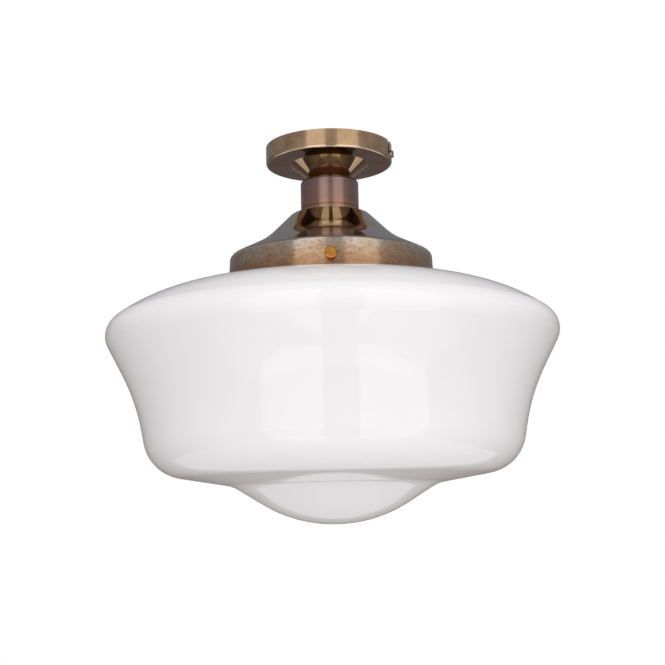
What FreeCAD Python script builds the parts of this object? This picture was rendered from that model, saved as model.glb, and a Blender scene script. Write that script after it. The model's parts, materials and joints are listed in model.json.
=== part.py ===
import FreeCAD, Part
import math
import os

# Semi flush ceiling light: a drawn metal rose on a ceiling bracket, a conical hub,
# a short neck, a spun gallery with three thumb screws, and an opal schoolhouse glass.
# Millimetres. +Z is up, z = 0 is the ceiling, and the axis of the light is x = y = 0.
# Angles are measured from +X towards +Y.  The front of the light faces -Y.

# ---- driving dimensions -------------------------------------------------------------

# ceiling rose, an upturned cup
rose_radius = 50.0
rose_height = 14.3
rose_wall = 1.2
rose_edge_round = 1.5

# bayonet between rose and bracket
lock_angle = -14.0            # where the lock screw stands
lock_lift = 4.5               # from the bottom of the rose up to its axis
twist_angle = 6.0             # from locked to the upright leg of the slot
lock_screw_radius = 1.75
slot_clearance = 0.15
lock_head_radius = 3.0
lock_head_height = 2.2
lock_head_chamfer = 0.5
lock_screw_length = 10.0      # under the head
driver_slot_width = 0.8
driver_slot_depth = 0.9

# ceiling bracket, pressed from plate
bracket_radius = 38.0
bracket_plate = 1.5
arm_width = 16.0
tab_gap = 1.2                 # from the tab to the inside of the rose
tab_floor_gap = 0.8           # from the tab to the floor of the rose
cable_hole_radius = 9.0
fixing_spacing = 54.0
fixing_slot_width = 5.0
fixing_slot_length = 13.0     # over the round ends
clinch_nut_radius = 2.9
clinch_nut_height = 2.4
peg_head_radius = 3.0
peg_head_height = 1.0
peg_setback = 0.3             # the peg ends this far inside the face of the rose
earth_screw_offset = 20.0     # from the axis, on the arm
earth_screw_radius = 2.0
earth_head_radius = 3.8
earth_head_height = 2.2
earth_washer_radius = 4.6
earth_washer_height = 0.8
earth_screw_setback = 0.2     # its end stays this far below the ceiling

# threaded tube that hangs everything from the rose
tube_radius = 5.0
tube_bore_radius = 4.0
tube_above_nut = 0.9
tube_hole_clearance = 0.2
thread_clearance = 0.05
nut_across_flats = 17.0
nut_height = 3.0
nut_sides = 6
nut_chamfer_share = 0.6       # of the way from the flats out to the corners
washer_radius = 11.0
washer_height = 1.0

# conical hub and the ring under it
hub_top_radius = 31.0
hub_bottom_radius = 15.2
hub_height = 11.7
hub_wall = 1.2
hub_floor = 1.5
ring_radius = 13.0
ring_height = 1.8

# neck sleeve
neck_radius = 22.9
neck_height = 27.8
neck_wall = 1.5
neck_edge_round = 2.6
groove_height = 0.4
groove_depth = 0.2
groove_lift = 4.2             # from the foot of the neck to the lower groove
groove_pitch = 0.9

# gallery, a spun dome with a straight wall
gallery_flat_margin = 7.9     # flat of its top outside the neck
gallery_bend_radius = 52.4
gallery_bend_drop = 21.3
gallery_shoulder_drop = 13.3  # from the bend down to the wall
gallery_wall_height = 20.6
gallery_wall_lean = 1.0       # how much wider the wall is at the rim
gallery_rim_radius = 80.2
gallery_wall = 1.2
gallery_top_round = 2.5
gallery_bend_round = 60.0
gallery_corner_round = 3.5
rim_groove_lift = 1.7

# thumb screws that hold the glass
thumb_screw_count = 3
first_thumb_angle = -90.0
thumb_lift = 7.4              # from the rim of the gallery up to their axes
thumb_radius = 2.0
thumb_tip_gap = 0.4           # from the tip to the collar of the glass
thumb_tip_chamfer = 0.8
thumb_collar_radius = 2.9
thumb_collar_height = 1.2
thumb_head_radius = 4.5
thumb_head_height = 5.0
thumb_head_chamfer = 0.9
thumb_seat_gap = 0.35
knurl_count = 16
knurl_radius = 0.45
bush_radius = 4.4
bush_height = 2.4
bush_seat_gap = 0.4

# opal glass: a collar with a lip, held inside the gallery
glass_depth = 185.3           # from the root of the collar to the tip of the bowl
glass_wall = 3.0
glass_root_gap = 0.6          # root of the collar below the rim of the gallery
collar_gap = 8.0              # from the inside of the gallery's rim to the collar
lip_reach = 4.0               # of the lip outside the collar
lip_height = 4.4
lip_seat_gap = 1.6            # from the thumb screws up to the lip
lip_round = 1.9
root_round = 2.4

# corners of the glass's outline below the collar, each with its drop from the one
# before and its rounding; the heel takes up what is left of the depth
shoulder_radius = 142.8
shoulder_drop = 11.5
shoulder_round = 127.7
belly_radius = 178.8          # the rounding leaves the glass 4.4 narrower
belly_drop = 25.7
belly_round = 15.4
waist_radius = 151.2
waist_drop = 53.4
waist_round = 154.0
heel_radius = 141.2
heel_round = 32.5
crease_radius = 78.6
crease_drop = 10.6
crease_round = 24.2
bowl_radius = 30.4
bowl_drop = 29.8
bowl_round = 104.0

# lampholder for an E27 lamp
holder_gap = 1.5              # from the lower nut to the cap
cap_boss_radius = 11.0
cap_boss_height = 4.0
cap_height = 21.0
cap_wall = 2.4
cap_thread_length = 8.0
cap_shoulder_round = 6.0
skirt_wall = 4.0
skirt_chamfer = 1.2
skirt_ledge_drop = 8.0
ledge_width = 1.4
skirt_lip = 2.0               # below the screw shell
block_clearance = 0.15
block_height = 12.0
shell_radius = 14.0
shell_wall = 0.5
shell_height = 22.0
shell_clearance = 0.1
recess_radius = 8.5
recess_gap = 0.2
tongue_width = 6.0
tongue_length = 11.0
tongue_plate = 0.5
tongue_drop = 3.2

# terminal block on the floor of the rose
terminal_ways = 3
terminal_pitch = 7.0
terminal_base_height = 3.0
terminal_depth = 14.0
terminal_height = 8.0
terminal_offset = 28.0        # from the axis to its middle
tower_radius = 2.7
terminal_screw_radius = 1.4
terminal_screw_sink = 1.0
terminal_screw_length = 3.4
terminal_slot_width = 0.4

# insulated leads from the terminal block down the tube
lead_radius = 0.9
lead_spacing = 2.6            # side by side in the tube
lead_exit_rise = 5.0          # above the floor of the rose
lead_run_out = 6.0            # straight out of the block
lead_over_tube = 4.4          # the arch above the end of the tube
lead_arch_reach = 7.0
lead_bend_share = 0.45

# ---- heights and radii worked out from them, going down from the ceiling -----------

rose_bottom = -rose_height
rose_floor = rose_bottom + rose_wall
rose_inner_radius = rose_radius - rose_wall
lock_depth = rose_height - lock_lift
hub_bottom = rose_bottom - hub_height
ring_bottom = hub_bottom - ring_height
neck_bottom = ring_bottom - neck_height
gallery_ceiling = neck_bottom - gallery_wall
gallery_flat_radius = neck_radius + gallery_flat_margin
gallery_wall_top = neck_bottom - gallery_bend_drop - gallery_shoulder_drop
gallery_wall_radius = gallery_rim_radius - gallery_wall_lean
gallery_rim = gallery_wall_top - gallery_wall_height
lower_washer_bottom = gallery_ceiling - washer_height
lower_nut_bottom = lower_washer_bottom - nut_height
cap_top = lower_nut_bottom - holder_gap
cap_bottom = cap_top - cap_height
ledge_level = cap_bottom - skirt_ledge_drop
skirt_bottom = ledge_level - shell_height - skirt_lip
skirt_bore_radius = shell_radius + shell_clearance + ledge_width
cap_radius = skirt_bore_radius + skirt_wall
block_top = ledge_level + block_height
upper_nut_top = rose_floor + washer_height + nut_height
tube_top = upper_nut_top + tube_above_nut
tube_bottom = cap_top - cap_thread_length
thumb_level = gallery_rim + thumb_lift
tube_hole_radius = tube_radius + tube_hole_clearance
tab_outer = rose_inner_radius - tab_gap
tab_inner = tab_outer - bracket_plate
glass_root = gallery_rim - glass_root_gap
heel_drop = glass_depth - shoulder_drop - belly_drop - waist_drop - crease_drop - bowl_drop
collar_radius = gallery_rim_radius - gallery_wall - collar_gap
lip_radius = collar_radius + lip_reach
lip_bottom = thumb_level + thumb_radius + lip_seat_gap
collar_top = lip_bottom + lip_height

# ---- small helpers ------------------------------------------------------------------

AXIS = FreeCAD.Vector(0, 0, 1)
CENTRE = FreeCAD.Vector(0, 0, 0)
ALONG_X = FreeCAD.Vector(1, 0, 0)
FULL_TURN = 360.0
OVER = 1.0                    # how far a cutting tool reaches past what it cuts
LEAST_ROUND = 0.5             # a smaller rounding is left sharp
ROOM = 0.99                   # share of a side that the roundings at its ends may take


def point(radius, z):
    return FreeCAD.Vector(radius, 0, z)


def save(name, shape):
    shape.exportStep("parts/" + name + ".step")


def turned_to(shape, angle):
    """A copy of the shape, turned about the axis of the light."""
    copy = shape.copy()
    copy.rotate(CENTRE, AXIS, angle)
    return copy


def corner_arc(before, corner, after, radius):
    """The arc of this radius that rounds a corner."""
    into = (before - corner).normalize()
    out = (after - corner).normalize()
    half = into.getAngle(out) / 2
    reach = radius / math.tan(half)
    middle = (into + out).normalize() * (radius / math.sin(half) - radius)
    return Part.Arc(corner + into * reach, corner + middle, corner + out * reach)


def fitted_roundings(corners):
    """The corners' roundings, made smaller where two of them don't fit on one side."""
    places = [point(c[0], c[1]) for c in corners]
    reaches = [0.0]
    for i in range(1, len(places) - 1):
        into = places[i - 1] - places[i]
        out = places[i + 1] - places[i]
        reaches.append(corners[i][2] / math.tan(into.getAngle(out) / 2))
    reaches.append(0.0)
    roundings = [c[2] for c in corners]
    for i in range(len(places) - 1):
        needed = reaches[i] + reaches[i + 1]
        room = ROOM * places[i].distanceToPoint(places[i + 1])
        if needed > room:
            for k in (i, i + 1):
                roundings[k] = min(roundings[k], corners[k][2] * room / needed)
    return roundings


def rounded_edges(corners):
    """Edges through the corners (radius, z, rounding), open at the ends."""
    places = [point(c[0], c[1]) for c in corners]
    roundings = fitted_roundings(corners)
    edges = []
    start = places[0]
    for i in range(1, len(places) - 1):
        rounding = roundings[i]
        if rounding > 0:
            arc = corner_arc(places[i - 1], places[i], places[i + 1], rounding)
            edges.append(Part.LineSegment(start, arc.StartPoint).toShape())
            edges.append(arc.toShape())
            start = arc.EndPoint
        else:
            edges.append(Part.LineSegment(start, places[i]).toShape())
            start = places[i]
    edges.append(Part.LineSegment(start, places[-1]).toShape())
    return edges


def revolved(edges):
    """The solid of revolution of a closed outline."""
    face = Part.Face(Part.Wire(edges))
    return face.revolve(CENTRE, AXIS, FULL_TURN)


def turned(corners):
    """A turned solid from a closed ring of corners (radius, z, rounding)."""
    first = corners[0]
    return revolved(rounded_edges(list(corners) + [first]))


def ring(outer, inner, low, high, rounding=0.0):
    """A turned ring, its outer edges rounded."""
    return turned([(inner, low, 0), (outer, low, rounding), (outer, high, rounding), (inner, high, 0)])


def inset(corners, wall):
    """The corners of the parallel line, one wall to the right of the way they run."""
    places = [point(c[0], c[1]) for c in corners]
    lines = []
    for a, b in zip(places, places[1:]):
        way = (b - a).normalize()
        aside = FreeCAD.Vector(way.z, 0, -way.x) * wall
        lines.append((a + aside, way, aside))
    moved = [(lines[0][0].x, lines[0][0].z, 0)]
    for i in range(1, len(places) - 1):
        (a, way_a, _), (b, way_b, _) = lines[i - 1], lines[i]
        turn = way_a.x * way_b.z - way_a.z * way_b.x
        along = ((b.x - a.x) * way_b.z - (b.z - a.z) * way_b.x) / turn
        place = a + way_a * along
        rounding = corners[i][2]
        if rounding > 0:
            rounding = rounding + wall if turn > 0 else rounding - wall
            rounding = rounding if rounding > LEAST_ROUND else 0
        moved.append((place.x, place.z, rounding))
    last = places[-1] + lines[-1][2]
    return moved + [(last.x, last.z, 0)]


def spun(outline, wall):
    """A spun shell of even wall, its outside along the outline."""
    corners = [(c[0], c[1], r) for c, r in zip(outline, fitted_roundings(outline))]
    outside = rounded_edges(corners)
    inside = rounded_edges(inset(corners, wall))
    outer_ends = (corners[0], corners[-1])
    inner_ends = (inset(corners, wall)[0], inset(corners, wall)[-1])
    joins = []
    for a, b in zip(outer_ends, inner_ends):
        joins.append(Part.LineSegment(point(a[0], a[1]), point(b[0], b[1])).toShape())
    return revolved(Part.__sortEdges__(outside + inside + joins))


def rod(radius, start, end, height=0.0, aside=0.0):
    """A round bar along X, from one distance to the other."""
    place = FreeCAD.Vector(start, aside, height)
    return Part.makeCylinder(radius, end - start, place, ALONG_X)


def drill(radius, low, high, x=0.0, y=0.0):
    """The tool for an upright hole, reaching past both ends."""
    place = FreeCAD.Vector(x, y, low - OVER)
    return Part.makeCylinder(radius, high - low + 2 * OVER, place)


def box(x0, x1, y0, y1, z0, z1):
    return Part.makeBox(x1 - x0, y1 - y0, z1 - z0, FreeCAD.Vector(x0, y0, z0))


def hexagon(across_flats, low, high, hole_radius):
    """A hexagon nut about the axis, its lower corners chamfered by a cone."""
    flat = across_flats / 2
    corner = flat / math.cos(math.pi / nut_sides)
    places = []
    for k in range(nut_sides + 1):
        turn = 2 * math.pi * k / nut_sides
        places.append(FreeCAD.Vector(corner * math.cos(turn), corner * math.sin(turn), low))
    blank = Part.Face(Part.makePolygon(places)).extrude(AXIS * (high - low))
    far = corner + OVER
    rise = (far - flat) * nut_chamfer_share
    cone = turned([(0, low, 0), (flat, low, 0), (far, low + rise, 0),
                   (far, high + OVER, 0), (0, high + OVER, 0)])
    return blank.common(cone).cut(drill(hole_radius, low, high))


# ---- rose and bracket ---------------------------------------------------------------


def bayonet_slot(angle):
    """An L-shaped slot: down from the mouth of the rose, then along to the lock point."""
    half = lock_screw_radius + slot_clearance
    near, far = rose_inner_radius - OVER, rose_radius + OVER
    end = turned_to(rod(half, near, far, -lock_depth), angle)
    bend = turned_to(rod(half, near, far, -lock_depth), angle - twist_angle)
    upright = turned_to(box(near, far, -half, half, -lock_depth, OVER), angle - twist_angle)
    along = Part.Face(Part.makePolygon([
        point(near, -lock_depth - half), point(far, -lock_depth - half),
        point(far, -lock_depth + half), point(near, -lock_depth + half),
        point(near, -lock_depth - half)])).revolve(CENTRE, AXIS, twist_angle)
    return end.fuse([bend, upright, turned_to(along, angle - twist_angle)])


def make_rose():
    corners = [(rose_radius, 0, 0), (rose_radius, rose_bottom, rose_edge_round),
               (tube_hole_radius, rose_bottom, 0)]
    slots = [bayonet_slot(lock_angle), bayonet_slot(lock_angle + FULL_TURN / 2)]
    return spun(corners, rose_wall).cut(slots)


def fixing_slot(side):
    half = fixing_slot_width / 2
    reach = fixing_slot_length / 2 - half
    middle = side * fixing_spacing / 2
    ends = [drill(half, -bracket_plate, 0, 0, middle + s * reach) for s in (-1, 1)]
    between = box(-half, half, middle - reach, middle + reach, -bracket_plate - OVER, OVER)
    return between.fuse(ends)


def make_bracket():
    plate = Part.makeCylinder(bracket_radius, bracket_plate, point(0, -bracket_plate))
    half = arm_width / 2
    arm = box(-tab_outer, tab_outer, -half, half, -bracket_plate, 0)
    tab_bottom = rose_floor + tab_floor_gap
    tabs = [box(tab_inner, tab_outer, -half, half, tab_bottom, 0),
            box(-tab_outer, -tab_inner, -half, half, tab_bottom, 0)]
    body = plate.fuse([arm] + tabs).removeSplitter()
    screw_hole = lock_screw_radius + thread_clearance
    holes = [rod(screw_hole, tab_inner - OVER, tab_outer + OVER, -lock_depth),
             rod(screw_hole, -tab_outer - OVER, -tab_inner + OVER, -lock_depth),
             drill(cable_hole_radius, -bracket_plate, 0),
             drill(earth_screw_radius + thread_clearance, -bracket_plate, 0, -earth_screw_offset)]
    return turned_to(body.cut(holes), lock_angle).cut([fixing_slot(1), fixing_slot(-1)])


def make_clinch_nut():
    body = rod(clinch_nut_radius, tab_inner - clinch_nut_height, tab_inner, -lock_depth)
    hole = rod(lock_screw_radius + thread_clearance, tab_inner - clinch_nut_height - OVER,
               tab_inner + OVER, -lock_depth)
    return turned_to(body.cut(hole), lock_angle)


def make_bayonet_peg():
    head = rod(peg_head_radius, -tab_inner, -tab_inner + peg_head_height, -lock_depth)
    pin = rod(lock_screw_radius, -(rose_radius - peg_setback), -tab_inner, -lock_depth)
    return turned_to(head.fuse(pin).removeSplitter(), lock_angle)


def make_lock_screw():
    seat = rose_radius + thread_clearance
    shank = rod(lock_screw_radius, seat - lock_screw_length, seat, -lock_depth)
    head = rod(lock_head_radius, seat, seat + lock_head_height, -lock_depth)
    rim = [e for e in head.Edges if e.BoundBox.XMin > seat + lock_head_height / 2 and e.Closed]
    head = head.makeChamfer(lock_head_chamfer, rim)
    top = seat + lock_head_height
    half = driver_slot_width / 2
    groove = box(top - driver_slot_depth, top + OVER, -lock_head_radius - OVER, lock_head_radius + OVER,
                 -lock_depth - half, -lock_depth + half)
    return turned_to(head.fuse(shank).removeSplitter().cut(groove), lock_angle)


def make_earth_washer():
    top = -bracket_plate
    low = top - earth_washer_height
    washer = Part.makeCylinder(earth_washer_radius, earth_washer_height, point(-earth_screw_offset, low))
    hole = drill(earth_screw_radius + thread_clearance, low, top, -earth_screw_offset)
    return turned_to(washer.cut(hole), lock_angle)


def make_earth_screw():
    seat = -bracket_plate - earth_washer_height
    low = seat - earth_head_height
    shank_length = -seat - earth_screw_setback
    shank = Part.makeCylinder(earth_screw_radius, shank_length, point(-earth_screw_offset, seat))
    head = Part.makeCylinder(earth_head_radius, earth_head_height, point(-earth_screw_offset, low))
    half = driver_slot_width / 2
    near = -earth_screw_offset - earth_head_radius - OVER
    far = -earth_screw_offset + earth_head_radius + OVER
    groove = box(near, far, -half, half, low - OVER, low + driver_slot_depth)
    return turned_to(shank.fuse(head).removeSplitter().cut(groove), lock_angle)


# ---- terminal block and leads -------------------------------------------------------


def terminal_lines():
    """How far to the side each way of the block lies."""
    return [(way - (terminal_ways - 1) / 2) * terminal_pitch for way in range(terminal_ways)]


def terminal_places():
    """Where the screws stand: two to each way."""
    places = []
    for across in terminal_lines():
        for side in (-1, 1):
            places.append((across, terminal_offset + side * terminal_depth / 4))
    return places


def make_terminal_block():
    half_width = terminal_ways * terminal_pitch / 2
    low, high = rose_floor, rose_floor + terminal_height
    near, far = terminal_offset - terminal_depth / 2, terminal_offset + terminal_depth / 2
    base = box(-half_width, half_width, near, far, low, low + terminal_base_height)
    shoulder = high - terminal_screw_sink
    ribs = [box(x - tower_radius, x + tower_radius, near, far, low, shoulder) for x in terminal_lines()]
    well_radius = terminal_screw_radius + thread_clearance
    well_depth = terminal_screw_length + terminal_screw_sink
    towers = []
    wells = []
    for x, y in terminal_places():
        towers.append(Part.makeCylinder(tower_radius, terminal_height, FreeCAD.Vector(x, y, low)))
        bottom = FreeCAD.Vector(x, y, shoulder - terminal_screw_length)
        wells.append(Part.makeCylinder(well_radius, well_depth + OVER, bottom))
    return base.fuse(ribs + towers).removeSplitter().cut(wells)


def make_terminal_screws():
    top = rose_floor + terminal_height - terminal_screw_sink
    reach = terminal_screw_radius + OVER
    half = terminal_slot_width / 2
    screws = []
    for x, y in terminal_places():
        bottom = FreeCAD.Vector(x, y, top - terminal_screw_length)
        body = Part.makeCylinder(terminal_screw_radius, terminal_screw_length, bottom)
        groove = box(x - reach, x + reach, y - half, y + half, top - driver_slot_depth, top + OVER)
        screws.append(body.cut(groove))
    return Part.makeCompound(screws)


def lead_path(across):
    """Out of the block, up over the end of the tube, and down to the lampholder."""
    exit_level = rose_floor + lead_exit_rise
    face = terminal_offset - terminal_depth / 2
    arch = tube_top + lead_over_tube
    route = [(face, exit_level), (face - lead_run_out, exit_level), (lead_arch_reach, arch),
             (0, arch), (0, block_top)]
    places = [FreeCAD.Vector(across, y, z) for y, z in route]
    edges = []
    start = places[0]
    for before, corner, after in zip(places, places[1:], places[2:]):
        into = (before - corner).normalize()
        out = (after - corner).normalize()
        run = min((before - corner).Length, (after - corner).Length)
        radius = lead_bend_share * run * math.tan(into.getAngle(out) / 2)
        print("lead bend radius", round(radius, 2))
        arc = corner_arc(before, corner, after, radius)
        edges.append(Part.LineSegment(start, arc.StartPoint).toShape())
        edges.append(arc.toShape())
        start = arc.EndPoint
    edges.append(Part.LineSegment(start, places[-1]).toShape())
    return Part.Wire(edges)


def make_lead(side):
    path = lead_path(side * lead_spacing / 2)
    start = path.Edges[0]
    section = Part.Wire(Part.makeCircle(lead_radius, start.Vertexes[0].Point,
                                        start.tangentAt(start.FirstParameter)))
    lead = path.makePipeShell([section], True, False)
    expected = math.pi * lead_radius ** 2 * path.Length
    print("lead volume over section times length", round(lead.Volume / expected, 4))
    return lead


# ---- stem: tube, nuts, hub, ring and neck -------------------------------------------


def make_threaded_tube():
    return ring(tube_radius, tube_bore_radius, tube_bottom, tube_top)


def make_washer(low):
    return ring(washer_radius, tube_hole_radius, low, low + washer_height)


def make_nut(low):
    return hexagon(nut_across_flats, low, low + nut_height, tube_radius + thread_clearance)


def make_hub():
    slant = math.hypot(hub_top_radius - hub_bottom_radius, hub_height) / hub_height
    side = hub_wall * slant
    floor_radius = hub_bottom_radius + (hub_top_radius - hub_bottom_radius) * hub_floor / hub_height
    return turned([(hub_bottom_radius, hub_bottom, 0), (hub_top_radius, rose_bottom, 0),
                   (hub_top_radius - side, rose_bottom, 0), (floor_radius - side, hub_bottom + hub_floor, 0),
                   (tube_hole_radius, hub_bottom + hub_floor, 0), (tube_hole_radius, hub_bottom, 0)])


def make_spacer_ring():
    return ring(ring_radius, tube_hole_radius, ring_bottom, hub_bottom)


def make_neck():
    corners = [(tube_hole_radius, ring_bottom, 0), (neck_radius, ring_bottom, neck_edge_round),
               (neck_radius, neck_bottom, 0)]
    sleeve = spun(corners, neck_wall)
    grooves = []
    for k in range(2):
        low = neck_bottom + groove_lift + k * groove_pitch
        grooves.append(ring(neck_radius + OVER, neck_radius - groove_depth, low, low + groove_height))
    return sleeve.cut(grooves)


# ---- gallery and thumb screws -------------------------------------------------------


def make_gallery():
    corners = [(tube_hole_radius, neck_bottom, 0),
               (gallery_flat_radius, neck_bottom, gallery_top_round),
               (gallery_bend_radius, neck_bottom - gallery_bend_drop, gallery_bend_round),
               (gallery_wall_radius, gallery_wall_top, gallery_corner_round),
               (gallery_rim_radius, gallery_rim, 0)]
    dome = spun(corners, gallery_wall)
    low = gallery_rim + rim_groove_lift
    cuts = [ring(gallery_rim_radius + OVER, gallery_rim_radius - groove_depth, low, low + groove_height)]
    hole = rod(thumb_radius + slot_clearance, collar_radius, gallery_rim_radius + OVER, thumb_level)
    cuts += [turned_to(hole, angle) for angle in thumb_angles()]
    return dome.cut(cuts)


def thumb_angles():
    return [first_thumb_angle + k * FULL_TURN / thumb_screw_count for k in range(thumb_screw_count)]


def gallery_radius_at(level):
    """Outside radius of the gallery's wall at a height."""
    share = (gallery_wall_top - level) / gallery_wall_height
    return gallery_wall_radius + share * gallery_wall_lean


def make_bushes():
    face = gallery_radius_at(thumb_level) - gallery_wall - bush_seat_gap
    body = rod(bush_radius, face - bush_height, face, thumb_level)
    hole = rod(thumb_radius + thread_clearance, face - bush_height - OVER, face + OVER, thumb_level)
    bush = body.cut(hole)
    return Part.makeCompound([turned_to(bush, angle) for angle in thumb_angles()])


def make_thumb_screw(angle):
    seat = gallery_radius_at(thumb_level) + thumb_seat_gap
    tip = collar_radius + thumb_tip_gap
    shank = rod(thumb_radius, tip, seat, thumb_level)
    end = [e for e in shank.Edges if e.Closed and e.BoundBox.XMax < tip + thumb_tip_chamfer]
    shank = shank.makeChamfer(thumb_tip_chamfer, end)
    collar = rod(thumb_collar_radius, seat, seat + thumb_collar_height, thumb_level)
    under_head = seat + thumb_collar_height
    face = under_head + thumb_head_height
    head = rod(thumb_head_radius, under_head, face, thumb_level)
    rim = [e for e in head.Edges if e.Closed and e.BoundBox.XMin > face - thumb_head_chamfer]
    head = head.makeChamfer(thumb_head_chamfer, rim)
    flutes = []
    for k in range(knurl_count):
        turn = 2 * math.pi * k / knurl_count
        across = thumb_head_radius * math.cos(turn)
        up = thumb_head_radius * math.sin(turn)
        flutes.append(rod(knurl_radius, under_head - OVER, face + OVER, thumb_level + up, across))
    head = head.cut(flutes)
    return turned_to(head.fuse([collar, shank]).removeSplitter(), angle)


# ---- glass --------------------------------------------------------------------------

def glass_outline():
    """Corners of the outside, from the top of the collar down to the tip of the bowl."""
    outline = [(collar_radius, collar_top, 0), (collar_radius, glass_root, root_round)]
    level = glass_root
    for radius, drop, rounding in (
            (shoulder_radius, shoulder_drop, shoulder_round),
            (belly_radius, belly_drop, belly_round),
            (waist_radius, waist_drop, waist_round),
            (heel_radius, heel_drop, heel_round),
            (crease_radius, crease_drop, crease_round),
            (bowl_radius, bowl_drop, bowl_round)):
        level -= drop
        outline.append((radius, level, rounding))
    return outline + [(0, level, 0)]


def make_glass():
    shell = spun(glass_outline(), glass_wall)
    lip = ring(lip_radius, collar_radius - glass_wall / 2, lip_bottom, collar_top, lip_round)
    return shell.fuse(lip).removeSplitter()


# ---- lampholder ---------------------------------------------------------------------


def make_cap():
    bore = cap_radius - cap_wall
    thread = tube_radius + thread_clearance
    shoulder = cap_top - cap_boss_height
    return turned([
        (thread, cap_top, 0), (cap_boss_radius, cap_top, 0), (cap_boss_radius, shoulder, 0),
        (cap_radius, shoulder, cap_shoulder_round), (cap_radius, cap_bottom, 0), (bore, cap_bottom, 0),
        (bore, tube_bottom, 0), (thread, tube_bottom, 0)])


def make_skirt():
    bore = shell_radius + shell_clearance
    return turned([
        (skirt_bore_radius, cap_bottom, 0), (cap_radius, cap_bottom, 0),
        (cap_radius, skirt_bottom + skirt_chamfer, 0), (cap_radius - skirt_chamfer, skirt_bottom, 0),
        (bore, skirt_bottom, 0),
        (bore, ledge_level, 0), (skirt_bore_radius, ledge_level, 0)])


def make_contact_block():
    block = Part.makeCylinder(skirt_bore_radius - block_clearance, block_height, point(0, ledge_level))
    return block.cut(Part.makeCylinder(recess_radius, tongue_drop + recess_gap, point(0, ledge_level)))


def make_screw_shell():
    return ring(shell_radius, shell_radius - shell_wall, ledge_level - shell_height, ledge_level)


def make_centre_contact():
    half = tongue_width / 2
    reach = tongue_length / 2
    top = ledge_level + tongue_drop + recess_gap
    profile = [point(-reach, top), point(-reach, top - tongue_plate), point(0, top - tongue_drop),
               point(reach / 2, top - tongue_drop), point(reach / 2, top - tongue_drop + tongue_plate),
               point(tongue_plate, top - tongue_drop + tongue_plate), point(-reach / 2, top)]
    face = Part.Face(Part.makePolygon(profile + [profile[0]]))
    face.translate(FreeCAD.Vector(0, -half, 0))
    return face.extrude(FreeCAD.Vector(0, tongue_width, 0))


# ---- all the pieces -----------------------------------------------------------------


def main():
    os.makedirs("parts", exist_ok=True)
    save("ceiling_bracket", make_bracket())
    save("clinch_nut", make_clinch_nut())
    save("bayonet_peg", make_bayonet_peg())
    save("earth_washer", make_earth_washer())
    save("earth_screw", make_earth_screw())
    save("lock_screw", make_lock_screw())
    save("ceiling_rose", make_rose())
    save("terminal_block", make_terminal_block())
    save("terminal_screws", make_terminal_screws())
    save("lead_live", make_lead(1))
    save("lead_neutral", make_lead(-1))
    save("upper_washer", make_washer(rose_floor))
    save("upper_locknut", make_nut(rose_floor + washer_height))
    save("threaded_tube", make_threaded_tube())
    save("conical_hub", make_hub())
    save("spacer_ring", make_spacer_ring())
    save("neck_sleeve", make_neck())
    save("gallery", make_gallery())
    save("lower_washer", make_washer(lower_washer_bottom))
    save("lower_locknut", make_nut(lower_nut_bottom))
    save("thumb_screw_bushes", make_bushes())
    for name, angle in zip(("front", "right", "left"), thumb_angles()):
        save("thumb_screw_" + name, make_thumb_screw(angle))
    save("glass_shade", make_glass())
    save("lampholder_cap", make_cap())
    save("lampholder_skirt", make_skirt())
    save("contact_block", make_contact_block())
    save("screw_shell", make_screw_shell())
    save("centre_contact", make_centre_contact())


main()
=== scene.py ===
import json
import math
import bpy
from mathutils import Euler, Matrix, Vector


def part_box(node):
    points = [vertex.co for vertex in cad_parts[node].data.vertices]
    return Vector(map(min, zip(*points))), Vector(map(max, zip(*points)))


# Looks of the semi flush ceiling light.  Metres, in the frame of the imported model:
# the ceiling is z = 0, the axis of the light is x = y = 0, and the front faces -Y.

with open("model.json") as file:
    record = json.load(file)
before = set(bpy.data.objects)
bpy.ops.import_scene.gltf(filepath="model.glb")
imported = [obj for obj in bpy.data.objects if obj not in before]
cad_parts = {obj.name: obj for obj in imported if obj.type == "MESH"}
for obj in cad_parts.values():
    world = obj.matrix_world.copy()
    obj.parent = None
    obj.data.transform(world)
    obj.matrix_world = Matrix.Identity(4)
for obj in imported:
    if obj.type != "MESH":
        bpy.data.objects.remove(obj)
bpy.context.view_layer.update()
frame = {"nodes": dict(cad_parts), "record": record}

# ---- camera -------------------------------------------------------------------------

CAMERA_PLACE = (0.0, -0.9254, -0.2896)
CAMERA_PITCH = 8.64            # degrees up
CAMERA_ROLL = -1.18            # degrees
SENSOR_WIDTH = 36.0            # millimetres
FOCAL_PIXELS = 1200.0          # focal length, in pixels of the picture
FRAME_PIXELS = 665.0           # width of the picture
CLIP_END = 100.0

# ---- studio -------------------------------------------------------------------------

WHITE = 1.0

# two upright softboxes in one plane in front of the light
SOFTBOX_DISTANCE = 1.5
SOFTBOX_MIDDLE = 0.3           # height of their middle
SOFTBOX_HEIGHT = 3.76
SOFTBOX_COLOUR = (0.98, 0.99, 1.0)
SOFTBOX_STRENGTH = 1.0
# where each starts and ends in a mirror cylinder, as shares of the cylinder's radius
SOFTBOX_SHARES = {"left": (-0.345, -0.05), "right": (0.125, 0.455)}

FLOOR_LEVEL = -1.6
FLOOR_SIZE = 4.0
FLOOR_TONE = 0.70

# what lights the matt surfaces: its level from straight below (0) to straight above (1),
# and what that is multiplied by behind the object and in front of it
AMBIENT_COLOUR = (1.0, 0.975, 0.98)
AMBIENT_LEVELS = [(0.0, 0.55), (0.35, 0.58), (0.5, 0.68), (1.0, 1.02)]
AMBIENT_BACK = 1.25
AMBIENT_FRONT = 0.66
# a low reflector in front adds to it, more the further forward and down a direction points
REFLECTOR_LEVEL = 0.10
REFLECTOR_FORWARD = (-0.3, -0.9)
REFLECTOR_DOWN = (0.1, -0.3)

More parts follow.
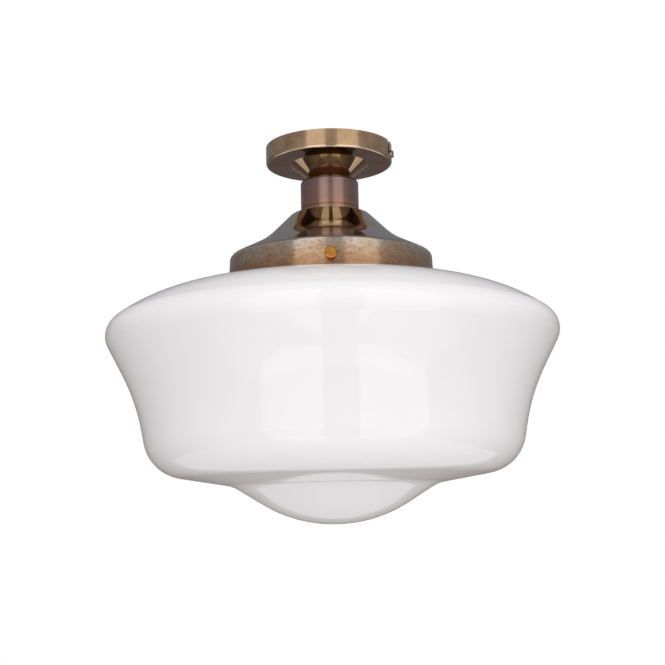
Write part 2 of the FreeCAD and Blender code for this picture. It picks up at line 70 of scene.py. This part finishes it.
# what mirrors show of the room: degrees to the right of the front, and brightness;
# the softboxes stand before the dark stretches
UPPER_TINT = (0.97, 1.0, 1.12)
LOWER_TINT = (1.10, 0.93, 0.86)
UPPER_ROOM = [
    (-180, 0.16), (-128, 0.27), (-100, 0.33), (-60, 0.41), (-44, 0.42), (-38, 0.0), (-8, 0.0),
    (-3, 0.58), (11, 0.58), (17, 0.0), (51, 0.0), (57, 0.50), (72, 0.42), (95, 0.36),
    (128, 0.34), (180, 0.16)]
LOWER_ROOM = [
    (-180, 0.19), (-128, 0.05), (-100, 0.12), (-70, 0.24), (-44, 0.22), (-38, 0.0), (-8, 0.0),
    (-3, 0.10), (11, 0.10), (17, 0.0), (51, 0.0), (57, 0.24), (75, 0.22), (100, 0.12),
    (128, 0.05), (180, 0.19)]
# how far up a direction points where the lower room gives way to the upper one, and that
# one to the ceiling
HORIZON = (0.12, 0.30)
OVERHEAD = (0.50, 0.65)
OVERHEAD_TONE = 0.22

# ---- finishes -----------------------------------------------------------------------

# A pair gives where a finish starts and where it is whole.  A rise is a height above the
# node's lower edge, and an inset is a distance inside its outer wall.

ROSE_PATINA = [(0.30, (0.44, 0.25, 0.115)), (0.50, (0.55, 0.35, 0.19)), (0.70, (0.63, 0.44, 0.26))]
# painted shade and dark reflections for the rose's underside
ROSE_UNDER_PAINTED_REFLECTIONS = [(0.35, (0.12, 0.05, 0.02)), (0.65, (0.24, 0.125, 0.06))]
# a painted highlight along the rounded lower edge of the rose
ROSE_EDGE_HIGHLIGHT = (0.93, 0.74, 0.52)
ROSE_WALL_INSET = (0.0020, 0.0006)
ROSE_EDGE_HIGHLIGHT_RISE = (0.0019, 0.0011)
ROSE_EDGE_HIGHLIGHT_INSET = (0.0016, 0.0012)
ROSE_UNDER_RISE = (0.0005, 0.0001)
ROSE_UNDER_INSET = (0.0010, 0.0016)
ROSE_WAVE = 12.0               # the slow wave of its skin, as a multiple of the turning marks

HUB_DARK = (0.52, 0.35, 0.20)
HUB_LIGHT = (0.58, 0.41, 0.25)

# from the foot of the sleeve (0) to its upper edge (1)
NECK_BANDS = [
    (0.03, (0.50, 0.31, 0.19)), (0.14, (0.47, 0.265, 0.16)), (0.30, (0.41, 0.235, 0.165)),
    (0.55, (0.385, 0.235, 0.19)), (1.0, (0.345, 0.225, 0.215))]
NECK_GROOVE = (0.20, 0.10, 0.06)
NECK_FACE = (0.50, 0.36, 0.20)
NECK_MARK = (0.24, 0.13, 0.09)
NECK_FACE_INSET = (0.0017, 0.0025)
NECK_GROOVE_INSET = (0.00003, 0.0001)
NECK_GROOVE_SHARE = (0.5, 0.4)  # the grooves are in the lower half of the sleeve

GALLERY_DARK = (0.57, 0.49, 0.40)
GALLERY_LIGHT = (0.65, 0.58, 0.48)
# down the wall, from a lighter grey at its top (0) to the mottled copper (1)
GALLERY_WALL = [
    (0.0, (0.60, 0.525, 0.45)), (0.30, (0.58, 0.43, 0.29)), (0.60, (0.53, 0.32, 0.175)),
    (1.0, (0.44, 0.24, 0.13))]
GALLERY_SPECK = (0.30, 0.12, 0.05)
GALLERY_WALL_RISE = (0.02136, 0.01936)
GALLERY_GREY_TO_COPPER_RISE = (0.02036, 0.00006)
GALLERY_SEAT_RADIUS = (0.0310, 0.0300)  # the flat that carries the neck

# dark tone, light tone and roughness of the small pieces
PLAIN_METALS = {
    "polished_brass": ((0.78, 0.33, 0.05), (0.90, 0.42, 0.08), 0.25),
    "zinc_steel": ((0.48, 0.50, 0.52), (0.62, 0.63, 0.63), 0.38),
    "steel_screw": ((0.32, 0.30, 0.27), (0.48, 0.46, 0.42), 0.28),
    "contact_brass": ((0.60, 0.45, 0.20), (0.74, 0.58, 0.30), 0.3),
}
MOULDINGS = {
    "phenolic": ((0.012, 0.011, 0.010), (0.022, 0.020, 0.018), 0.32),
    "porcelain": ((0.74, 0.72, 0.66), (0.80, 0.78, 0.73), 0.42),
    "terminal_plastic": ((0.70, 0.68, 0.62), (0.76, 0.74, 0.69), 0.45),
    "lead_brown": ((0.10, 0.045, 0.02), (0.13, 0.06, 0.03), 0.40),
    "lead_blue": ((0.02, 0.08, 0.30), (0.03, 0.11, 0.36), 0.40),
}

GLASS_DARK = (0.885, 0.868, 0.872)
GLASS_LIGHT = (0.905, 0.889, 0.893)

# how the lacquer over the turned brass takes the light
LACQUER = {"Metallic": 1.0, "Coat_Weight": 0.5, "Coat_Roughness": 0.05, "Coat_IOR": 1.45,
           "Anisotropic": 0.5, "Anisotropic_Rotation": 0.25}

# nodes whose metal differs a little from the rest of their slot
OWN_METAL = {"conical_hub": "hub_brass", "spacer_ring": "hub_brass", "gallery": "gallery_brass"}

# most of a noise lies between these two values
NOISE_LOW = 0.3
NOISE_HIGH = 0.7

# how far each surface stands out at full bump strength, in metres
TURNED_RELIEF = 0.00001
PLAIN_RELIEF = 0.00002
MOULDED_RELIEF = 0.00005
GLASS_RELIEF = 0.0005


# ---- camera and lights --------------------------------------------------------------


def add_object(name, data):
    made = bpy.data.objects.new(name, data)
    bpy.context.scene.collection.objects.link(made)
    return made


def make_camera():
    data = bpy.data.cameras.new("camera")
    data.sensor_width = SENSOR_WIDTH
    data.lens = SENSOR_WIDTH * FOCAL_PIXELS / FRAME_PIXELS
    data.clip_end = CLIP_END
    camera = add_object("camera", data)
    upright = Euler((math.pi / 2 + math.radians(CAMERA_PITCH), 0, 0)).to_matrix().to_4x4()
    roll = Matrix.Rotation(math.radians(CAMERA_ROLL), 4, "Z")
    camera.matrix_world = Matrix.Translation(CAMERA_PLACE) @ upright @ roll
    bpy.context.scene.camera = camera


def make_softbox(side):
    """An area light where a mirror cylinder shows it, as its wall turns a view by twice its own angle."""
    start, end = [SOFTBOX_DISTANCE * math.tan(2 * math.asin(share)) for share in SOFTBOX_SHARES[side]]
    data = bpy.data.lights.new("softbox_" + side, "AREA")
    data.shape = "RECTANGLE"
    width = end - start
    data.size = width
    data.size_y = SOFTBOX_HEIGHT
    data.color = SOFTBOX_COLOUR
    data.energy = SOFTBOX_STRENGTH * math.pi * width * SOFTBOX_HEIGHT
    light = add_object("softbox_" + side, data)
    light.location = ((start + end) / 2, -SOFTBOX_DISTANCE, SOFTBOX_MIDDLE)
    light.rotation_euler = (math.pi / 2, 0, 0)


# ---- node helpers -------------------------------------------------------------------


def solid(colour):
    """A colour with alpha, from a grey or from three numbers."""
    if isinstance(colour, (int, float)):
        return (colour, colour, colour, 1.0)
    return (*colour, 1.0)


class Graph:
    """A node tree with short calls for the nodes used here."""

    def __init__(self, owner):
        owner.use_nodes = True
        self.tree = owner.node_tree
        self.tree.nodes.clear()

    def node(self, kind, settings=None, **inputs):
        """A node.  Its inputs go by name, with _ for a space, or by number, as i0 and i1."""
        made = self.tree.nodes.new(kind)
        for key, value in (settings or {}).items():
            setattr(made, key, value)
        for key, value in inputs.items():
            by_number = key[0] == "i" and key[1:].isdigit()
            self.feed(made.inputs[int(key[1:]) if by_number else key.replace("_", " ")], value)
        return made

    def feed(self, socket, value):
        if isinstance(value, bpy.types.NodeSocket):
            self.tree.links.new(value, socket)
        else:
            socket.default_value = value

    def math(self, operation, a, b=0.0):
        return self.node("ShaderNodeMath", {"operation": operation}, i0=a, i1=b).outputs[0]

    def plus(self, a, b):
        return self.math("ADD", a, b)

    def times(self, a, b):
        return self.math("MULTIPLY", a, b)

    def spread(self, value, start=0.0, end=1.0, low=0.0, high=1.0):
        """Map start..end to low..high, and stay there outside it."""
        made = self.node("ShaderNodeMapRange", Value=value, From_Min=start, From_Max=end,
                         To_Min=low, To_Max=high)
        return made.outputs["Result"]

    def ramp(self, factor, stops):
        made = self.node("ShaderNodeValToRGB", Fac=factor)
        elements = made.color_ramp.elements
        while len(elements) < len(stops):
            elements.new(0.5)
        for element, (place, colour) in zip(elements, stops):
            element.position = place
            element.color = solid(colour)
        return made.outputs["Color"]

    def mix(self, factor, a, b, blend="MIX"):
        made = self.node("ShaderNodeMix", {"data_type": "RGBA", "blend_type": blend}, i0=factor)
        for number, colour in ((6, a), (7, b)):
            is_socket = isinstance(colour, bpy.types.NodeSocket)
            self.feed(made.inputs[number], colour if is_socket else solid(colour))
        return made.outputs[2]

    def tint(self, colour, other):
        """One colour times another."""
        return self.mix(1.0, colour, other, "MULTIPLY")

    def shade(self, colour, value):
        """Darken a colour by a value; 1 or more leaves it as it is."""
        return self.tint(colour, self.ramp(value, [(0.0, 0.0), (1.0, 1.0)]))

    def noise(self, vector, scale, detail=2.0, roughness=0.5):
        made = self.node("ShaderNodeTexNoise", Vector=vector, Scale=scale, Detail=detail,
                         Roughness=roughness)
        return made.outputs["Fac"]

    def vary(self, noise, low, high):
        """From low to high over most of a noise."""
        return self.spread(noise, NOISE_LOW, NOISE_HIGH, low, high)

    def tones(self, noise, dark, light):
        """From a dark to a light colour over most of a noise."""
        return self.ramp(noise, [(NOISE_LOW, dark), (NOISE_HIGH, light)])


# ---- world and floor ----------------------------------------------------------------


def mirrored_room(graph, x, y, z):
    """What a mirror shows in a direction: a lower room, an upper one, and the ceiling."""
    aside = graph.math("ARCTAN2", x, graph.times(y, -1.0))
    turned = graph.spread(aside, -math.pi, math.pi)
    halves = []
    for room, tint in ((LOWER_ROOM, LOWER_TINT), (UPPER_ROOM, UPPER_TINT)):
        tones = graph.ramp(turned, [(0.5 + degrees / 360, tone) for degrees, tone in room])
        halves.append(graph.tint(tones, tint))
    walls = graph.mix(graph.spread(z, *HORIZON), *halves)
    return graph.mix(graph.spread(z, *OVERHEAD), walls, OVERHEAD_TONE)


def ambient(graph, y, z):
    """What lights the matt surfaces from a direction."""
    level = graph.ramp(graph.spread(z, -1.0, 1.0), AMBIENT_LEVELS)
    share = graph.spread(y, 1.0, -1.0, AMBIENT_BACK, AMBIENT_FRONT)
    reflector = graph.times(graph.spread(y, *REFLECTOR_FORWARD), graph.spread(z, *REFLECTOR_DOWN))
    share = graph.plus(share, graph.times(reflector, REFLECTOR_LEVEL))
    lit = graph.tint(level, AMBIENT_COLOUR)
    return graph.node("ShaderNodeVectorMath", {"operation": "SCALE"}, i0=lit, Scale=share).outputs[0]


def make_world():
    world = bpy.data.worlds.new("studio")
    bpy.context.scene.world = world
    graph = Graph(world)
    rays = graph.node("ShaderNodeLightPath").outputs
    way = graph.node("ShaderNodeTexCoord").outputs["Generated"]
    x, y, z = graph.node("ShaderNodeSeparateXYZ", Vector=way).outputs
    colour = graph.mix(rays["Is Glossy Ray"], ambient(graph, y, z), mirrored_room(graph, x, y, z))
    seen = graph.mix(rays["Is Camera Ray"], colour, WHITE)
    background = graph.node("ShaderNodeBackground", Color=seen, Strength=1.0)
    graph.node("ShaderNodeOutputWorld", Surface=background.outputs[0])


def make_floor():
    """A pale floor that the camera sees as white."""
    mesh = bpy.data.meshes.new("floor")
    half = FLOOR_SIZE / 2
    corners = [(-half, -half), (half, -half), (half, half), (-half, half)]
    mesh.from_pydata([(x, y, FLOOR_LEVEL) for x, y in corners], [], [(0, 1, 2, 3)])
    material = bpy.data.materials.new("pale_floor")
    graph = Graph(material)
    rays = graph.node("ShaderNodeLightPath").outputs
    diffuse = graph.node("ShaderNodeBsdfDiffuse", Color=solid(FLOOR_TONE))
    white = graph.node("ShaderNodeEmission", Color=solid(WHITE), Strength=1.0)
    seen = graph.node("ShaderNodeMixShader", i0=rays["Is Camera Ray"],
                      i1=diffuse.outputs[0], i2=white.outputs[0])
    graph.node("ShaderNodeOutputMaterial", Surface=seen.outputs[0])
    mesh.materials.append(material)
    add_object("floor", mesh)


# ---- materials ----------------------------------------------------------------------


class Surface(Graph):
    """A material with one Principled shader."""

    def __init__(self, name):
        self.material = bpy.data.materials.new(name)
        super().__init__(self.material)
        self.place = self.node("ShaderNodeTexCoord").outputs["Object"]

    def flattened(self, times):
        """The place with its height multiplied, so that marks lie flat."""
        return self.node("ShaderNodeMapping", Vector=self.place, Scale=(1.0, 1.0, times)).outputs[0]

    def about(self, noise, middle, give):
        """A value up to give below and above its middle, over the whole of a noise."""
        return self.spread(noise, low=middle - give, high=middle + give)

    def bump(self, height, strength, relief):
        return self.node("ShaderNodeBump", Height=height, Strength=strength, Distance=relief).outputs[0]

    def finish(self, colour, roughness, normal, **constants):
        shader = self.node("ShaderNodeBsdfPrincipled", Base_Color=colour, Roughness=roughness,
                           Normal=normal, **constants)
        self.node("ShaderNodeOutputMaterial", Surface=shader.outputs[0])
        return self.material


class Turned(Surface):
    """Lacquered metal turned or spun round the Z axis, for one CAD node's own sizes."""

    def __init__(self, name, node):
        super().__init__(name)
        low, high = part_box(node)
        self.low_edge = low.z
        self.high_edge = high.z
        self.outer_radius = high.x
        x, y, self.height = self.node("ShaderNodeSeparateXYZ", Vector=self.place).outputs
        self.radius = self.math("SQRT", self.plus(self.times(x, x), self.times(y, y)))

    def rise(self, start, end):
        return self.spread(self.height, self.low_edge + start, self.low_edge + end)

    def inset(self, start, end):
        return self.spread(self.radius, self.outer_radius - start, self.outer_radius - end)

    def marks(self, scale):
        """Fine rings left by turning, the same all the way round."""
        rings = self.node("ShaderNodeCombineXYZ", X=self.radius, Y=self.height).outputs[0]
        return self.noise(rings, scale, detail=3.0)

    def lacquered(self, colour, roughness, marks, strength):
        tangent = self.node("ShaderNodeTangent", {"direction_type": "RADIAL", "axis": "Z"}).outputs[0]
        normal = self.bump(marks, strength, TURNED_RELIEF)
        return self.finish(colour, roughness, normal, Tangent=tangent, **LACQUER)


def rose_metal():
    """Drawn brass: satin wall, glossier underside with a slow wave and painted shade and dark
    reflections, and a painted highlight along the lower edge.
    """
    graph = Turned("antique_brass", "ceiling_rose")
    clouds = graph.noise(graph.place, scale=70.0, detail=6.0, roughness=0.62)
    grain = graph.noise(graph.flattened(3.0), scale=420.0, detail=4.0, roughness=0.6)
    edge_highlight = graph.times(graph.rise(*ROSE_EDGE_HIGHLIGHT_RISE), graph.inset(*ROSE_EDGE_HIGHLIGHT_INSET))
    under = graph.times(graph.rise(*ROSE_UNDER_RISE), graph.inset(*ROSE_UNDER_INSET))
    colour = graph.shade(graph.ramp(clouds, ROSE_PATINA), graph.vary(grain, 0.86, 1.10))
    # painted shade and dark reflections over the underside
    colour = graph.mix(under, colour, graph.ramp(clouds, ROSE_UNDER_PAINTED_REFLECTIONS))
    # painted highlight along the rounded lower edge
    colour = graph.mix(edge_highlight, colour, ROSE_EDGE_HIGHLIGHT)
    satin = graph.spread(graph.inset(*ROSE_WALL_INSET), low=0.10, high=0.20)
    roughness = graph.plus(satin, graph.vary(clouds, -0.02, 0.02))
    wave = graph.times(graph.noise(graph.place, scale=110.0), ROSE_WAVE)
    return graph.lacquered(colour, roughness, graph.plus(graph.marks(2600.0), wave), strength=0.12)


def hub_metal():
    """Turned brass, glossy."""
    graph = Turned("hub_brass", "conical_hub")
    clouds = graph.noise(graph.place, scale=90.0, detail=5.0, roughness=0.6)
    colour = graph.tones(clouds, HUB_DARK, HUB_LIGHT)
    return graph.lacquered(colour, graph.vary(clouds, 0.09, 0.13), graph.marks(2600.0), strength=0.10)


def neck_metal():
    """Turned sleeve: rosy bronze, more coppery at its foot, brass on its upper face."""
    graph = Turned("antique_copper", "neck_sleeve")
    share = graph.spread(graph.height, graph.low_edge, graph.high_edge)
    face = graph.inset(*NECK_FACE_INSET)
    grooves = graph.times(graph.inset(*NECK_GROOVE_INSET), graph.spread(share, *NECK_GROOVE_SHARE))
    clouds = graph.noise(graph.place, scale=90.0, detail=4.0, roughness=0.6)
    marks = graph.marks(2200.0)
    colour = graph.mix(grooves, graph.ramp(share, NECK_BANDS), NECK_GROOVE)
    colour = graph.mix(face, colour, NECK_FACE)
    colour = graph.shade(colour, graph.vary(clouds, 0.93, 1.05))
    colour = graph.mix(graph.spread(marks, 0.35, 0.65, high=0.16), colour, NECK_MARK)
    roughness = graph.plus(graph.vary(marks, 0.27, 0.33), graph.times(face, 0.30))
    return graph.lacquered(colour, roughness, marks, strength=0.08)


def gallery_metal():
    """Spun brass: glossy on the dome; its wall is lighter and greyer above and mottled copper below."""
    graph = Turned("gallery_brass", "gallery")
    wall = graph.rise(*GALLERY_WALL_RISE)
    clouds = graph.noise(graph.flattened(2.2), scale=75.0, detail=7.0, roughness=0.68)
    specks = graph.noise(graph.flattened(2.6), scale=300.0, detail=6.0, roughness=0.75)
    grey_to_copper = graph.plus(graph.rise(*GALLERY_GREY_TO_COPPER_RISE), graph.vary(clouds, -0.36, 0.36))
    side = graph.ramp(grey_to_copper, GALLERY_WALL)
    side = graph.mix(graph.spread(specks, 0.53, 0.63, high=0.8), side, GALLERY_SPECK)
    colour = graph.mix(wall, graph.tones(clouds, GALLERY_DARK, GALLERY_LIGHT), side)
    roughness = graph.mix(wall, graph.tones(clouds, 0.06, 0.10), graph.tones(clouds, 0.18, 0.28))
    roughness = graph.mix(graph.spread(graph.radius, *GALLERY_SEAT_RADIUS), roughness, 0.5)
    return graph.lacquered(colour, roughness, graph.marks(2600.0), strength=0.08)


def plain_metal(name, dark, light, roughness):
    """Plated or bare small hardware, its tone and gloss a little uneven."""
    graph = Surface(name)
    patches = graph.noise(graph.place, scale=300.0, detail=5.0, roughness=0.6)
    normal = graph.bump(graph.noise(graph.place, scale=4000.0), 0.15, PLAIN_RELIEF)
    colour = graph.tones(patches, dark, light)
    return graph.finish(colour, graph.about(patches, roughness, 0.08), normal, Metallic=1.0)


def moulded(name, dark, light, roughness):
    """Plastic, porcelain or lead insulation."""
    graph = Surface(name)
    patches = graph.noise(graph.place, scale=120.0, detail=4.0)
    grain = graph.noise(graph.place, scale=1500.0, detail=3.0)
    normal = graph.bump(grain, 0.1, MOULDED_RELIEF)
    return graph.finish(graph.tones(patches, dark, light), graph.about(grain, roughness, 0.06), normal)


def opal_glass():
    """Glossy opaque white glass: a faint cloud in its tone and a slow wave in its skin."""
    graph = Surface("opal_glass")
    cloud = graph.noise(graph.place, scale=9.0, detail=3.0)
    wave = graph.noise(graph.place, scale=14.0, detail=1.0)
    return graph.finish(graph.tones(cloud, GLASS_DARK, GLASS_LIGHT), graph.about(cloud, 0.04, 0.01),
                        graph.bump(wave, 0.2, GLASS_RELIEF), Coat_Weight=0.15, Coat_Roughness=0.05)


def make_materials():
    made = {
        "antique_brass": rose_metal(),
        "hub_brass": hub_metal(),
        "gallery_brass": gallery_metal(),
        "antique_copper": neck_metal(),
        "opal_glass": opal_glass(),
    }
    for name, look in PLAIN_METALS.items():
        made[name] = plain_metal(name, *look)
    for name, look in MOULDINGS.items():
        made[name] = moulded(name, *look)
    return made


def dress_nodes(materials):
    """Every solid keeps its shape and gets a finished material in its own slots."""
    for row in frame["record"]["subparts"]:
        metal = OWN_METAL.get(row["node"], row["material_slot"])
        for held in frame["nodes"][row["node"]].material_slots:
            held.material = materials[metal]


make_camera()
for side in SOFTBOX_SHARES:
    make_softbox(side)
make_world()
make_floor()
dress_nodes(make_materials())

bpy.context.scene.view_settings.view_transform = "Standard"
